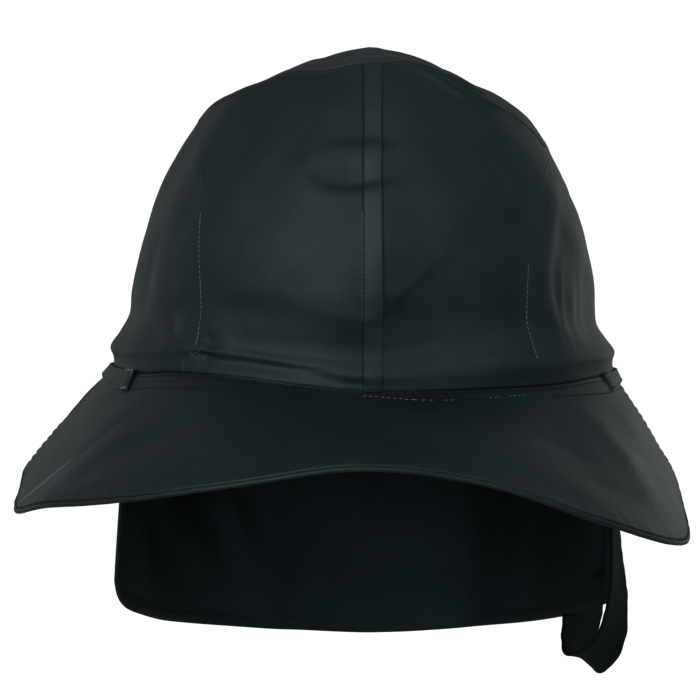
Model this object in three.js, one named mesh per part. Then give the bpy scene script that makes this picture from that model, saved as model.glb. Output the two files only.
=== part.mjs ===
// A rain hat of coated cloth: a panelled crown with a tip, a brim that is longer at the back,
// a neck flap that hangs inside the brim, a size band and a chin strap.
// Millimetres and degrees. +X is the wearer's left, -Y the front, +Z up.
// The origin is the centre of the head opening, level with the seam of crown and brim.

import * as THREE from "three";

// Driving sizes
const crownWall = 1.4;
const brimWall = 2;
const flapWall = 1.3;
const seamGap = 0.3;
const tipHeight = 117;
const tipCentre = { x: 2, y: -4 };
const flapTop = 5;
const bandStart = 63;
const bandWall = 1.2;
const bandAboveSeam = 2;
const bandBelowSeam = 6;
const stripWidth = 6;
const stripWall = 0.8;
const strapWidth = 20;
const strapWall = 1.3;
const brimSeam = 91;

// How many cells each shell is divided into, across and up, and the strap along its route
const panelColumns = { front: 15, back: 18 };
const tipGrid = { columns: 40, rows: 6 };
const brimGrid = { front: { columns: 38, rows: 7 }, back: { columns: 30, rows: 6 } };
const flapGrid = { columns: 34, rows: 9 };
const bandColumns = 46;
const strapSteps = 92;

// Half widths and half depths of the crown wall, by the share of the way up from brim to tip
const crownProfile = [
  { rise: 0.0, right: 88.6, left: 88.6, front: 102.6, back: 103.0 },
  { rise: 0.05, right: 89.0, left: 89.1, front: 104.0, back: 103.8 },
  { rise: 0.085, right: 89.6, left: 89.7, front: 103.6, back: 103.2 },
  { rise: 0.14, right: 86.2, left: 86.6, front: 100.6, back: 101.0 },
  { rise: 0.21, right: 82.9, left: 83.1, front: 99.2, back: 99.6 },
  { rise: 0.3, right: 82.3, left: 81.8, front: 99.4, back: 99.0 },
  { rise: 0.44, right: 80.3, left: 80.8, front: 98.4, back: 97.6 },
  { rise: 0.59, right: 76.6, left: 78.8, front: 94.0, back: 94.4 },
  { rise: 0.69, right: 73.4, left: 76.9, front: 89.4, back: 90.6 },
  { rise: 0.78, right: 69.8, left: 74.5, front: 84.0, back: 86.2 },
  { rise: 0.86, right: 66.0, left: 72.3, front: 78.6, back: 81.4 },
  { rise: 0.94, right: 61.4, left: 69.2, front: 72.6, back: 76.0 },
  { rise: 1.0, right: 57.6, left: 66.6, front: 67.4, back: 71.4 },
];

// Round the hat from back to back: the seam of crown and brim, the seam of wall and tip,
// how far the brim reaches out from the crown, and how far its hem hangs below the origin
const roundHat = [
  { turn: -180, seam: 1, tip: 103, reach: 68, drop: 69 },
  { turn: -150, seam: 1, tip: 101, reach: 64, drop: 60 },
  { turn: -120, seam: 2, tip: 96, reach: 46, drop: 45 },
  { turn: -105, seam: 2.8, tip: 93.5, reach: 36, drop: 37 },
  { turn: -90, seam: 3.5, tip: 92, reach: 32.5, drop: 33.5 },
  { turn: -75, seam: 3.6, tip: 94, reach: 35.5, drop: 38 },
  { turn: -60, seam: 3.6, tip: 97.3, reach: 46, drop: 42.2 },
  { turn: -45, seam: 5.1, tip: 101.6, reach: 53.5, drop: 36.5 },
  { turn: -30, seam: 4.4, tip: 105.3, reach: 57, drop: 32 },
  { turn: -15, seam: 2.2, tip: 106, reach: 58.5, drop: 25.5 },
  { turn: 0, seam: 0, tip: 109, reach: 58.5, drop: 20.2 },
  { turn: 15, seam: 0.3, tip: 109.6, reach: 58.5, drop: 25.5 },
  { turn: 30, seam: 0.7, tip: 103, reach: 57, drop: 39.4 },
  { turn: 45, seam: 0.9, tip: 94.8, reach: 51.2, drop: 49.2 },
  { turn: 60, seam: 1.9, tip: 89, reach: 37.8, drop: 50.4 },
  { turn: 75, seam: 2, tip: 82.5, reach: 26.5, drop: 42 },
  { turn: 90, seam: 2, tip: 79, reach: 23.5, drop: 37.5 },
  { turn: 105, seam: 1.5, tip: 83, reach: 28, drop: 37 },
  { turn: 120, seam: 1, tip: 90, reach: 42, drop: 45 },
  { turn: 150, seam: 1, tip: 99, reach: 63, drop: 60 },
  { turn: 180, seam: 1, tip: 103, reach: 68, drop: 69 },
];

// How much of its height the tip has gained, by the share of the way in from its seam: level is
// for most of the tip, high for the wearer's left, where it is puffed up over a low seam
const tipRise = [
  { inward: 0, level: 0, high: 0 },
  { inward: 0.1, level: 0.13, high: 0.28 },
  { inward: 0.25, level: 0.3, high: 0.46 },
  { inward: 0.5, level: 0.58, high: 0.67 },
  { inward: 0.75, level: 0.83, high: 0.91 },
  { inward: 1, level: 1, high: 1 },
];

// Dents (negative) and bulges of the cloth, each along a line from one place to another.
// A level is 0 at the seam of crown and brim, 1 at the tip seam and -1 at the brim's hem.
const folds = [
  { name: "upper dent", turnA: -8, levelA: 0.765, turnB: 7, levelB: 0.76, width: 3.6, height: -2.2 },
  { name: "lower dent", turnA: -8, levelA: 0.61, turnB: 9, levelB: 0.61, width: 3.6, height: -2.2 },
  { name: "ridge between dents", turnA: -7, levelA: 0.69, turnB: 8, levelB: 0.69, width: 4, height: 1.2 },
  { name: "front bulge", turnA: -12, levelA: 0.45, turnB: -2, levelB: 0.38, width: 13, height: 2.6 },
  { name: "right front fold", turnA: -24, levelA: 0.4, turnB: -6, levelB: 0.22, width: 5.5, height: -2.6 },
  { name: "left front fold", turnA: 16, levelA: 0.37, turnB: 5, levelB: 0.22, width: 5.5, height: -2.6 },
  { name: "crease over the roll", turnA: -30, levelA: 0.155, turnB: 20, levelB: 0.155, width: 3.6, height: -2.2 },
  { name: "roll along the base", turnA: -34, levelA: 0.07, turnB: 22, levelB: 0.06, width: 4, height: 1.2 },
  { name: "left front dent", turnA: 27, levelA: 0.5, turnB: 22, levelB: 0.34, width: 7, height: -2 },
  { name: "left side crease", turnA: 58, levelA: 0.72, turnB: 66, levelB: 0.3, width: 6, height: -2 },
  { name: "right back dent", turnA: -140, levelA: 0.5, turnB: -128, levelB: 0.35, width: 9, height: -2.4 },
  { name: "left back dent", turnA: 150, levelA: 0.62, turnB: 138, levelB: 0.42, width: 9, height: -2.4 },
  { name: "right brim crease", turnA: -45, levelA: -0.35, turnB: -62, levelB: -0.95, width: 4, height: 2.2 },
  { name: "right brim hollow", turnA: -34, levelA: -0.5, turnB: -50, levelB: -0.95, width: 7, height: -2 },
  { name: "left brim hollow", turnA: 33, levelA: -0.35, turnB: 40, levelB: -0.8, width: 9, height: -1.6 },
];

// How far the neck flap's hem hangs down, and how far it stands out there beyond a straight drop,
// from its edge on the wearer's left round the back to the one on the right
const flapHem = [
  { turn: 98, drop: 82.4, flare: 5.6 },
  { turn: 100, drop: 84.4, flare: 4.4 },
  { turn: 104, drop: 86.4, flare: 1.6 },
  { turn: 110, drop: 89.6, flare: -2.6 },
  { turn: 120, drop: 93.4, flare: -5.5 },
  { turn: 130, drop: 96.6, flare: -3.4 },
  { turn: 142, drop: 99.8, flare: 0.6 },
  { turn: 160, drop: 104, flare: 1 },
  { turn: 180, drop: 106, flare: 1 },
  { turn: 200, drop: 104, flare: 0.6 },
  { turn: 218, drop: 100.5, flare: 1.4 },
  { turn: 230, drop: 97.5, flare: 0.6 },
  { turn: 240, drop: 94.5, flare: 1 },
  { turn: 249, drop: 90.5, flare: 2.6 },
  { turn: 254, drop: 87, flare: 4.2 },
  { turn: 256.5, drop: 82.5, flare: 5.2 },
  { turn: 258, drop: 76, flare: 5.6 },
];

// The strap's middle line from its right end round the back to its left end, and the way its
// width points there
const strapRoute = [
  { x: -85.2, y: 4, z: 4, acrossX: 0, acrossY: -1, acrossZ: 0 },
  { x: -86, y: 7, z: -8, acrossX: -0.1, acrossY: -1, acrossZ: -0.3 },
  { x: -90, y: 21, z: -22, acrossX: -0.1, acrossY: -0.8, acrossZ: -0.6 },
  { x: -84.5, y: 45, z: -31, acrossX: 0, acrossY: -0.3, acrossZ: -1 },
  { x: -65, y: 77, z: -36, acrossX: 0, acrossY: 0, acrossZ: -1 },
  { x: -34, y: 99.5, z: -39, acrossX: 0, acrossY: 0, acrossZ: -1 },
  { x: 0, y: 107, z: -41, acrossX: 0, acrossY: 0, acrossZ: -1 },
  { x: 34, y: 100.5, z: -44, acrossX: 0, acrossY: 0, acrossZ: -1 },
  { x: 63, y: 86, z: -52, acrossX: 0.1, acrossY: 0.1, acrossZ: -1 },
  { x: 80, y: 70, z: -65, acrossX: 0.35, acrossY: 0.35, acrossZ: -0.87 },
  { x: 85.6, y: 61, z: -78, acrossX: 0.55, acrossY: 0.65, acrossZ: -0.5 },
  { x: 85.2, y: 54.5, z: -88, acrossX: 0.66, acrossY: 0.72, acrossZ: -0.15 },
  { x: 82.2, y: 48, z: -97, acrossX: 0.66, acrossY: 0.73, acrossZ: -0.12 },
  { x: 79.9, y: 42, z: -103.8, acrossX: 0.54, acrossY: 0.76, acrossZ: -0.32 },
  { x: 81.6, y: 34, z: -106.6, acrossX: 0.43, acrossY: 0.82, acrossZ: -0.38 },
  { x: 86.2, y: 24.5, z: -102.8, acrossX: 0.45, acrossY: 0.82, acrossZ: -0.37 },
  { x: 90, y: 19, z: -95.3, acrossX: 0.47, acrossY: 0.83, acrossZ: -0.25 },
  { x: 91.7, y: 15.8, z: -84, acrossX: 0.4, acrossY: 0.89, acrossZ: -0.14 },
  { x: 91.4, y: 12.5, z: -71, acrossX: 0.28, acrossY: 0.95, acrossZ: 0 },
  { x: 90.4, y: 9.5, z: -57, acrossX: 0.2, acrossY: 0.97, acrossZ: 0 },
  { x: 88, y: 4, z: -32, acrossX: 0.1, acrossY: 1, acrossZ: 0 },
  { x: 86.2, y: 1, z: -9, acrossX: 0, acrossY: 1, acrossZ: 0 },
  { x: 85.3, y: 0, z: 4, acrossX: 0, acrossY: 1, acrossZ: 0 },
];

// Colour and finish of each cloth
const coatedCloth = { color: 0x1c2324, roughness: 0.45, metalness: 0 };
const flapCloth = { color: 0x12181a, roughness: 0.6, metalness: 0 };
const webbing = { color: 0x1d1c1b, roughness: 0.85, metalness: 0 };

const radians = (degrees) => (degrees * Math.PI) / 180;
const mix = (a, b, share) => a + (b - a) * share;
const clamp01 = (value) => Math.min(1, Math.max(0, value));

// A value of one column between the rows of a table, on a smooth curve through them
function between(table, keyColumn, key, column) {
  const last = table.length - 1;
  let row = 0;
  while (row < last - 1 && key > table[row + 1][keyColumn]) {
    row += 1;
  }
  const slope = (index) => {
    const before = table[Math.max(0, index - 1)];
    const after = table[Math.min(last, index + 1)];
    return (after[column] - before[column]) / (after[keyColumn] - before[keyColumn]);
  };
  const start = table[row];
  const end = table[row + 1];
  const span = end[keyColumn] - start[keyColumn];
  const t = clamp01((key - start[keyColumn]) / span);
  const t2 = t * t;
  const t3 = t2 * t;
  return (
    (2 * t3 - 3 * t2 + 1) * start[column] +
    (t3 - 2 * t2 + t) * span * slope(row) +
    (3 * t2 - 2 * t3) * end[column] +
    (t3 - t2) * span * slope(row + 1)
  );
}

// The crown wall, from the brim at rise 0 to the tip seam at rise 1
function wallPoint(turn, rise) {
  const angle = radians(turn);
  const halfWidth = between(crownProfile, "rise", rise, turn < 0 ? "right" : "left");
  const halfDepth = between(crownProfile, "rise", rise, Math.abs(turn) < 90 ? "front" : "back");
  const bottom = between(roundHat, "turn", turn, "seam");
  const top = between(roundHat, "turn", turn, "tip");
  return new THREE.Vector3(
    halfWidth * Math.sin(angle),
    -halfDepth * Math.cos(angle),
    mix(bottom, top, rise),
  );
}

// The tip, from its seam at inward 0 to its centre at inward 1
function tipPoint(turn, inward) {
  const rim = wallPoint(turn, 1);
  const puffed = turn > 0 ? Math.sin(radians(turn)) ** 2 : 0;
  const low = between(tipRise, "inward", inward, "level");
  const high = between(tipRise, "inward", inward, "high");
  return new THREE.Vector3(
    mix(rim.x, tipCentre.x, inward),
    mix(rim.y, tipCentre.y, inward),
    mix(rim.z, tipHeight, mix(low, high, puffed)),
  );
}

// The brim, from the crown at outward 0 to the hem at outward 1. It is arched: in front and behind
// it stands up from a straight line, and at the temples it stands out from one.
const brimArch = 3;
const brimBow = 0.19;
function brimPoint(turn, outward) {
  const angle = radians(turn);
  const root = wallPoint(turn, 0);
  const base = crownProfile[0];
  const away = new THREE.Vector3(root.x / base.left ** 2, root.y / base.front ** 2, 0);
  const reach = between(roundHat, "turn", turn, "reach");
  const hem = -between(roundHat, "turn", turn, "drop");
  const arch = brimArch * Math.cos(angle) ** 2 * 4 * outward * (1 - outward);
  const bow = brimBow * Math.sin(angle) ** 2 * outward * (1 - outward);
  const point = root.clone().addScaledVector(away.normalize(), reach * (outward + bow));
  point.z = mix(root.z, hem, outward) + arch;
  return point;
}

// Brim, wall and tip as one skin without its folds
function plainSkin(turn, level) {
  if (level < 0) {
    return brimPoint(turn, -level);
  }
  return level <= 1 ? wallPoint(turn, level) : tipPoint(turn, level - 1);
}

// The unit normal of a face whose point is given by two values
const turnStep = 0.4;
const levelStep = 0.006;
function normalOf(face, turn, level) {
  const alongTurn = face(turn + turnStep, level).sub(face(turn - turnStep, level));
  const alongLevel = face(turn, level + levelStep).sub(face(turn, level - levelStep));
  return alongTurn.cross(alongLevel).normalize();
}

// How high all folds together lift the cloth at one place
const turnLength = 1.62;
const levelLength = { wall: 100, brim: 60 };
function foldHeight(turn, level) {
  let height = 0;
  for (const fold of folds) {
    const onBrim = fold.levelA < 0;
    if (onBrim !== level < 0) {
      continue;
    }
    const scale = onBrim ? levelLength.brim : levelLength.wall;
    const alongX = (fold.turnB - fold.turnA) * turnLength;
    const alongY = (fold.levelB - fold.levelA) * scale;
    const offX = (turn - fold.turnA) * turnLength;
    const offY = (level - fold.levelA) * scale;
    const share = clamp01((offX * alongX + offY * alongY) / (alongX ** 2 + alongY ** 2));
    const away = Math.hypot(offX - share * alongX, offY - share * alongY);
    height += fold.height * Math.exp(-((away / fold.width) ** 2));
  }
  return height;
}

// The hat's outer face with its folds
function skin(turn, level) {
  const height = foldHeight(turn, level);
  const point = plainSkin(turn, level);
  return height === 0 ? point : point.addScaledVector(normalOf(plainSkin, turn, level), height);
}

// A neck flap that drops nearly straight from inside the crown, from fall 0 to its hem at fall 1.
// It is counted from the hem upwards, so that its normal points out as the crown's does.
// It stands out most at the hem, is drawn in halfway down, and has shallow upright waves.
const flapFlarePower = 1.3;
const flapWaist = 1.6;
const flapWaves = 5;
const flapWaveHeight = 1.1;
function flapFace(turn, level) {
  const fall = 1 - level;
  const angle = radians(turn);
  const drop = between(flapHem, "turn", turn, "drop");
  const flare = between(flapHem, "turn", turn, "flare") * Math.max(0, fall) ** flapFlarePower;
  const waist = flapWaist * Math.sin(Math.PI * fall);
  const wave = flapWaveHeight * fall * Math.sin(flapWaves * 2 * angle);
  const inset = crownWall + seamGap + waist - flare - wave;
  return new THREE.Vector3(
    (crownProfile[0].left - inset) * Math.sin(angle),
    -(crownProfile[0].back - inset) * Math.cos(angle),
    mix(flapTop, -drop, fall),
  );
}

// A closed shell: the outer face is a grid of places, the inner face lies one wall below it.
// Where closeRound is set the grid meets itself, and where toPole is set its last row is one point.
function shell(face, columns, rows, place, wall, { closeRound = false, toPole = false } = {}) {
  const outer = [];
  const inner = [];
  for (let row = 0; row <= rows; row += 1) {
    const atPole = toPole && row === rows;
    const count = atPole ? 1 : closeRound ? columns : columns + 1;
    for (let column = 0; column < count; column += 1) {
      const [turn, level] = place(column / columns, row / rows);
      const point = face(turn, level);
      const normal = atPole ? new THREE.Vector3(0, 0, 1) : normalOf(face, turn, level);
      outer.push(point);
      inner.push(point.clone().addScaledVector(normal, -wall));
    }
  }
  const perRow = closeRound ? columns : columns + 1;
  const at = (column, row) =>
    toPole && row === rows ? rows * perRow : row * perRow + (closeRound ? column % columns : column);
  const shift = outer.length;
  const faces = [];
  const triangle = (a, b, c) => {
    if (a !== b && b !== c && c !== a) {
      faces.push(a, b, c);
    }
  };
  const quad = (a, b, c, d) => {
    triangle(a, b, c);
    triangle(a, c, d);
  };
  for (let row = 0; row < rows; row += 1) {
    for (let column = 0; column < columns; column += 1) {
      const corners = [at(column, row), at(column + 1, row), at(column + 1, row + 1), at(column, row + 1)];
      quad(...corners);
      const [a, b, c, d] = corners.map((corner) => corner + shift);
      quad(c, b, a, d);
    }
  }
  for (let column = 0; column < columns; column += 1) {
    quad(at(column, 0) + shift, at(column + 1, 0) + shift, at(column + 1, 0), at(column, 0));
    if (!toPole) {
      quad(at(column, rows), at(column + 1, rows), at(column + 1, rows) + shift, at(column, rows) + shift);
    }
  }
  if (!closeRound) {
    for (let row = 0; row < rows; row += 1) {
      quad(at(0, row) + shift, at(0, row), at(0, row + 1), at(0, row + 1) + shift);
      quad(at(columns, row), at(columns, row) + shift, at(columns, row + 1) + shift, at(columns, row + 1));
    }
  }
  return meshGeometry([...outer, ...inner], faces);
}

function meshGeometry(points, faces) {
  const geometry = new THREE.BufferGeometry();
  const positions = points.flatMap((point) => [point.x, point.y, point.z]);
  geometry.setAttribute("position", new THREE.Float32BufferAttribute(positions, 3));
  geometry.setIndex(faces);
  geometry.computeVertexNormals();
  return geometry;
}

// Half the seam gap as a turn, and as a level on the wall, the brim and the tip
const gapTurn = 0.17;
const gapLevel = { wall: 0.002, brim: 0.003, tip: 0.003 };

// The seam between a front and a back panel of the crown runs upright, so it turns further
// round the hat as the crown narrows, most of all near the tip
const sideSeamTurn = { atBrim: 39, gain: 7, gainNearTip: 34 };
function sideSeam(rise) {
  return sideSeamTurn.atBrim + sideSeamTurn.gain * rise + sideSeamTurn.gainNearTip * rise ** 5;
}

// The levels of the wall's rows, closer together in front where its folds are sharp
const spread = (count) => Array.from({ length: count + 1 }, (unused, index) => index / count);
const frontLevels = [
  0, 0.03, 0.06, 0.09, 0.12, 0.145, 0.17, 0.2, 0.24, 0.28, 0.32, 0.36, 0.41, 0.46,
  0.52, 0.57, 0.6, 0.63, 0.66, 0.69, 0.72, 0.75, 0.78, 0.82, 0.88, 0.94, 1,
];
const insideSeams = (levels) => levels.map((level) => mix(gapLevel.wall, 1 - gapLevel.wall, level));
const frontRows = insideSeams(frontLevels);
const backRows = insideSeams(spread(13));

function crownPanel(turnAt, columns, rises) {
  const rows = rises.length - 1;
  const place = (across, up) => {
    const rise = rises[Math.round(up * rows)];
    return [turnAt(across, rise, columns), rise];
  };
  return shell(skin, columns, rows, place, crownWall);
}

// The turn that the lapped strip reaches to, where a front panel has its second column too
function stripTurn(rise) {
  return (stripWidth * 180) / (Math.PI * between(crownProfile, "rise", rise, "left"));
}

function frontLeftTurn(across, rise, columns) {
  const first = 1 / columns;
  const share = (across - first) / (1 - first);
  return share < 0 ? gapTurn : mix(stripTurn(rise), sideSeam(rise) - gapTurn, share);
}

function backLeftTurn(across, rise) {
  return mix(sideSeam(rise) + gapTurn, 180 - gapTurn, across);
}

// The same panel on the wearer's right
const mirrored = (turnAt) => (across, rise, columns) => -turnAt(1 - across, rise, columns);

function crownTip() {
  const place = (around, up) => [mix(-180, 180, around), mix(1 + gapLevel.tip, 2, up)];
  return shell(skin, tipGrid.columns, tipGrid.rows, place, crownWall, { closeRound: true, toPole: true });
}

// A brim piece covers the turns from one side seam to the other. The hem is at level -1.
function brimPiece(fromTurn, toTurn, { columns, rows }) {
  const wrap = (turn) => (turn > 180 ? turn - 360 : turn);
  const face = (turn, level) => skin(wrap(turn), level);
  const place = (across, up) => [
    mix(fromTurn + gapTurn, toTurn - gapTurn, across),
    mix(-1, -gapLevel.brim, up),
  ];
  return shell(face, columns, rows, place, brimWall);
}

function neckFlap() {
  const [leftEdge, rightEdge] = [flapHem[0].turn, flapHem[flapHem.length - 1].turn];
  const place = (across, up) => [mix(leftEdge, rightEdge, across), up];
  return shell(flapFace, flapGrid.columns, flapGrid.rows, place, flapWall);
}

// A tape over the seam of crown and brim, round the back from temple to temple
function bandFace(turn, level) {
  const wrapped = turn > 180 ? turn - 360 : turn;
  const low = -bandBelowSeam / levelLength.brim;
  const high = bandAboveSeam / levelLength.wall;
  const lower = skin(wrapped, low).addScaledVector(normalOf(skin, wrapped, low), seamGap + bandWall);
  const upper = skin(wrapped, high).addScaledVector(normalOf(skin, wrapped, high), seamGap + bandWall);
  return lower.lerp(upper, level);
}

function sizeBand() {
  const place = (across, up) => [mix(bandStart, 360 - bandStart, across), up];
  return shell(bandFace, bandColumns, 1, place, bandWall);
}

// The lapped edge of one front panel, a strip just beside the centre seam. It has its points over
// the panel's own, so it stays the same way off it in every dent.
function seamStrip() {
  const outer = [];
  const inner = [];
  for (const rise of frontRows) {
    for (const turn of [gapTurn, stripTurn(rise)]) {
      const normal = normalOf(skin, turn, rise);
      outer.push(skin(turn, rise).addScaledVector(normal, seamGap + stripWall));
      inner.push(skin(turn, rise).addScaledVector(normal, seamGap));
    }
  }
  return band(outer, inner, frontRows.length - 1);
}

// A closed strip from pairs of points on its outer and inner face, one pair a row
function band(outer, inner, rows) {
  const shift = outer.length;
  const faces = [];
  const quad = (a, b, c, d) => faces.push(a, b, c, a, c, d);
  for (let row = 0; row < rows; row += 1) {
    const [a, b, c, d] = [2 * row, 2 * row + 1, 2 * row + 3, 2 * row + 2];
    quad(a, b, c, d);
    quad(c + shift, b + shift, a + shift, d + shift);
    quad(a + shift, a, d, d + shift);
    quad(b, b + shift, c + shift, c);
  }
  const end = 2 * rows;
  quad(shift, shift + 1, 1, 0);
  quad(end, end + 1, end + 1 + shift, end + shift);
  return meshGeometry([...outer, ...inner], faces);
}

// The strap is flat webbing, swept along its route
function chinStrap() {
  const centres = new THREE.CatmullRomCurve3(
    strapRoute.map((row) => new THREE.Vector3(row.x, row.y, row.z)),
  );
  const widths = new THREE.CatmullRomCurve3(
    strapRoute.map((row) => new THREE.Vector3(row.acrossX, row.acrossY, row.acrossZ).normalize()),
  );
  const outer = [];
  const inner = [];
  for (let step = 0; step <= strapSteps; step += 1) {
    const centre = centres.getPoint(step / strapSteps);
    const tangent = centres.getTangent(step / strapSteps);
    const across = widths.getPoint(step / strapSteps);
    across.addScaledVector(tangent, -across.dot(tangent)).normalize();
    const normal = new THREE.Vector3().crossVectors(across, tangent);
    for (const side of [-0.5, 0.5]) {
      const edge = centre.clone().addScaledVector(across, side * strapWidth);
      outer.push(edge.clone().addScaledVector(normal, strapWall / 2));
      inner.push(edge.clone().addScaledVector(normal, -strapWall / 2));
    }
  }
  return band(outer, inner, strapSteps);
}

const hat = new THREE.Group();

function add(name, geometry, finish) {
  const mesh = new THREE.Mesh(geometry, new THREE.MeshStandardMaterial(finish));
  mesh.name = name;
  hat.add(mesh);
}

add("crown_front_left", crownPanel(frontLeftTurn, panelColumns.front, frontRows), coatedCloth);
add("crown_front_right", crownPanel(mirrored(frontLeftTurn), panelColumns.front, frontRows), coatedCloth);
add("crown_back_left", crownPanel(backLeftTurn, panelColumns.back, backRows), coatedCloth);
add("crown_back_right", crownPanel(mirrored(backLeftTurn), panelColumns.back, backRows), coatedCloth);
add("crown_tip", crownTip(), coatedCloth);
add("front_seam_strip", seamStrip(), coatedCloth);
add("brim_front", brimPiece(-brimSeam, brimSeam, brimGrid.front), coatedCloth);
add("brim_back", brimPiece(brimSeam, 360 - brimSeam, brimGrid.back), coatedCloth);
add("neck_flap", neckFlap(), flapCloth);
add("size_band", sizeBand(), coatedCloth);
add("chin_strap", chinStrap(), webbing);

export default hat;
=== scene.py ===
# A rain hat of coated cloth: panelled crown with a tip, a brim with stitched hem, a neck flap,
# a size band and a chin strap of webbing.
# The tables are in millimetres and degrees, and the meshes in metres. +X is the wearer's left,
# -Y the front and +Z up. Left and right are the wearer's.
# A place on the hat is a turn (0 in front, growing to the wearer's left) and a level
# (-1 at the brim's hem, 0 at the seam of crown and brim, 1 at the tip's seam, 2 at its centre).

import math

import bpy
import numpy as np
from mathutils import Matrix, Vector


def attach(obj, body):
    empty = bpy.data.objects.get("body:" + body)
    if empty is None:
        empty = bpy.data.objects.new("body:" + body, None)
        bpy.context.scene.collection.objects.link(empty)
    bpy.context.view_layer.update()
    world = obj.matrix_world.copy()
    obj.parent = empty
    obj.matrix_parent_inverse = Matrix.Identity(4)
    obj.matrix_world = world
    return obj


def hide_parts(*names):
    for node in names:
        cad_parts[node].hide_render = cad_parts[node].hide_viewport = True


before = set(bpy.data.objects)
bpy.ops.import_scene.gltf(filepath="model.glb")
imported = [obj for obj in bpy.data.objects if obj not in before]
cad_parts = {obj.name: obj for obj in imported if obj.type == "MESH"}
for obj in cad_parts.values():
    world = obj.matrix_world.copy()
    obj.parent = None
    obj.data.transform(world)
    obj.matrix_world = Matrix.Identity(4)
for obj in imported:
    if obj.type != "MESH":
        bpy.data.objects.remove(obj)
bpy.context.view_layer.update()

MM = 0.001

# ---- sizes of the hat

CROWN_WALL = 1.4
BRIM_WALL = 2.0
FLAP_WALL = 1.3
STRIP_WALL = 0.8
BAND_WALL = 1.2
STRAP_WALL = 1.3
SEAM_GAP = 0.3
SEAM_DEPTH = 0.7
TIP_CENTRE = (2, -4, 117)
BRIM_ARCH = 3
BRIM_BOW = 0.19
BRIM_SEAM = 91
FLAP_TOP = 5
STRIP_WIDTH = 6
STRAP_WIDTH = 20
BAND_START = 63
BAND_ABOVE_SEAM = 1.4
BAND_BELOW_SEAM = 6
# the same and the band's height over the cloth, at its left and its right end
BAND_BELOW_AT_ENDS = (6.6, 8.2)
BAND_RISE_AT_ENDS = (0.4, 0.8)

# Rough lengths of one level on the crown, the brim and the flap, and of one degree of turn, and
# rough radii of the crown and the band
WALL_LENGTH = 100
BRIM_LENGTH = 60
FLAP_LENGTH = 105
TURN_LENGTH = 1.62
CROWN_RADIUS = 80
BAND_RADIUS = 88


def rows_of(text):
    """Rows of numbers, with a comma between two rows."""
    return np.array([row.split() for row in text.split(",")], float)


class Table:
    """Rows of numbers under named columns, read on a smooth curve through them."""

    def __init__(self, columns, text):
        self.columns = columns.split()
        self.rows = rows_of(text)

    def at(self, keys, name):
        key, value = self.rows[:, 0], self.rows[:, self.columns.index(name)]
        last = len(key) - 1
        ahead = np.minimum(np.arange(last + 1) + 1, last)
        behind = np.maximum(np.arange(last + 1) - 1, 0)
        slope = (value[ahead] - value[behind]) / (key[ahead] - key[behind])
        row = np.clip(np.searchsorted(key, keys) - 1, 0, last - 1)
        span = key[row + 1] - key[row]
        t = np.clip((keys - key[row]) / span, 0, 1)
        rise = 3 * t**2 - 2 * t**3
        return (
            (1 - rise) * value[row]
            + rise * value[row + 1]
            + (t**3 - 2 * t**2 + t) * span * slope[row]
            + (t**3 - t**2) * span * slope[row + 1]
        )


# Half widths and half depths of the crown wall, by the share of the way up
crown_profile = Table("rise right left front back", """
    0 88.6 88.6 102.6 103, .05 89 89.1 104 103.8, .085 89.6 89.7 103.6 103.2,
    .14 86.2 86.6 100.6 101, .21 82.9 83.1 99.2 99.6, .3 82.3 81.8 99.4 99, .44 80.3 80.8 98.4 97.6,
    .59 76.6 78.8 94 94.4, .69 73.4 76.9 89.4 90.6, .78 69.8 74.5 84 86.2, .86 66 72.3 78.6 81.4,
    .94 61.4 69.2 72.6 76, 1 57.6 66.6 67.4 71.4
""")

# Round the hat: the height of both seams, how far the brim reaches out, and its hem's drop
round_hat = Table("turn seam tip reach drop", """
    -210 1 99 63 60, -180 1 103 68 69, -150 1 101 64 60, -120 2 96 46 45, -105 2.8 93.5 36 37,
    -90 3.5 92 32.5 33.5, -75 3.6 94 35.5 38, -60 3.6 97.3 46 42.2, -45 5.1 101.6 53.5 36.5,
    -30 4.4 105.3 57 32, -15 2.2 106 58.5 25.5, 0 0 109 58.5 20.2, 15 .3 109.6 58.5 25.5,
    30 .7 103 57 39.4, 45 .9 94.8 51.2 49.2, 60 1.9 89 37.8 50.4, 75 2 82.5 26.5 42,
    90 2 79 23.5 37.5, 105 1.5 83 28 37, 120 1 90 42 45, 150 1 99 63 60, 180 1 103 68 69,
    210 1 101 64 60
""")

tip_rise = Table("inward level high", """
    0 0 0, .1 .13 .28, .25 .3 .46, .5 .58 .67, .75 .83 .91, 1 1 1
""")

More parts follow.
